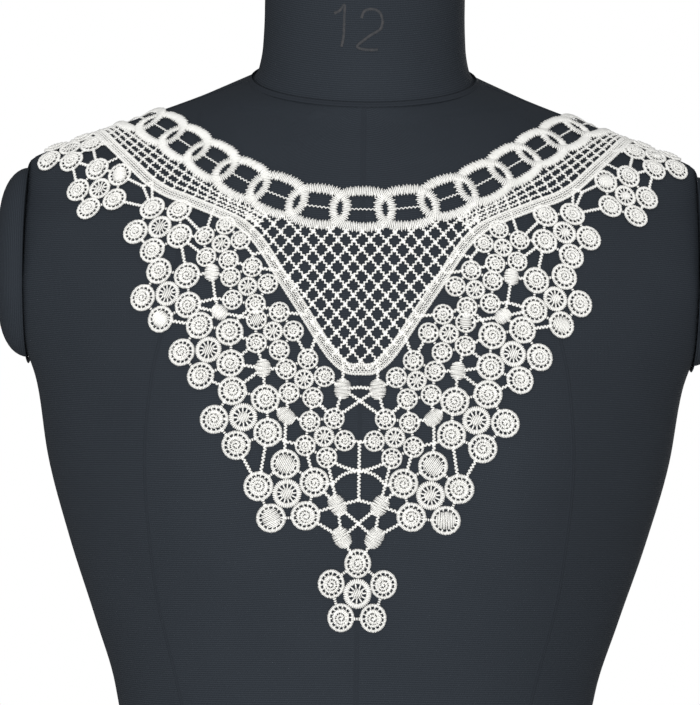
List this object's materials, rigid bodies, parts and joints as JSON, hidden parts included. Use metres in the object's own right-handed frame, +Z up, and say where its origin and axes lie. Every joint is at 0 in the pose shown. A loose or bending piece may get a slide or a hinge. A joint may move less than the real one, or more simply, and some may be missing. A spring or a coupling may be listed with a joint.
{
  "type": "lace neckline applique on dress form",
  "caption": "White guipure lace neckline with a ring-chain edge, net inset, spiral flowers and a hanging flower, laid on a dark cloth-covered limbless dress form.",
  "frame": {"origin": "centre of the dress form's flat bottom, on the surface it stands on", "axes": "+Z up along the form, -Y out of its front, where the lace lies, +X to the right as seen from the front"},
  "size_m": [0.4268, 0.2371, 0.6649],
  "materials": {
    "lace": "raised satin-stitch cotton cord, off-white",
    "form_cloth": "fine ribbed knit, dark navy"
  },
  "bodies": {
    "root": {"neck_ring_band": "lace", "net_inset": "lace", "tape_edging": "lace", "flower_panel_right": "lace", "flower_panel_left": "lace", "bead_bridge": "lace", "pendant_drop": "lace", "form_torso": "form_cloth", "form_neck": "form_cloth", "form_neck_cap": "form_cloth", "form_arm_cap_right": "form_cloth", "form_arm_cap_left": "form_cloth"}
  },
  "joints": []
}
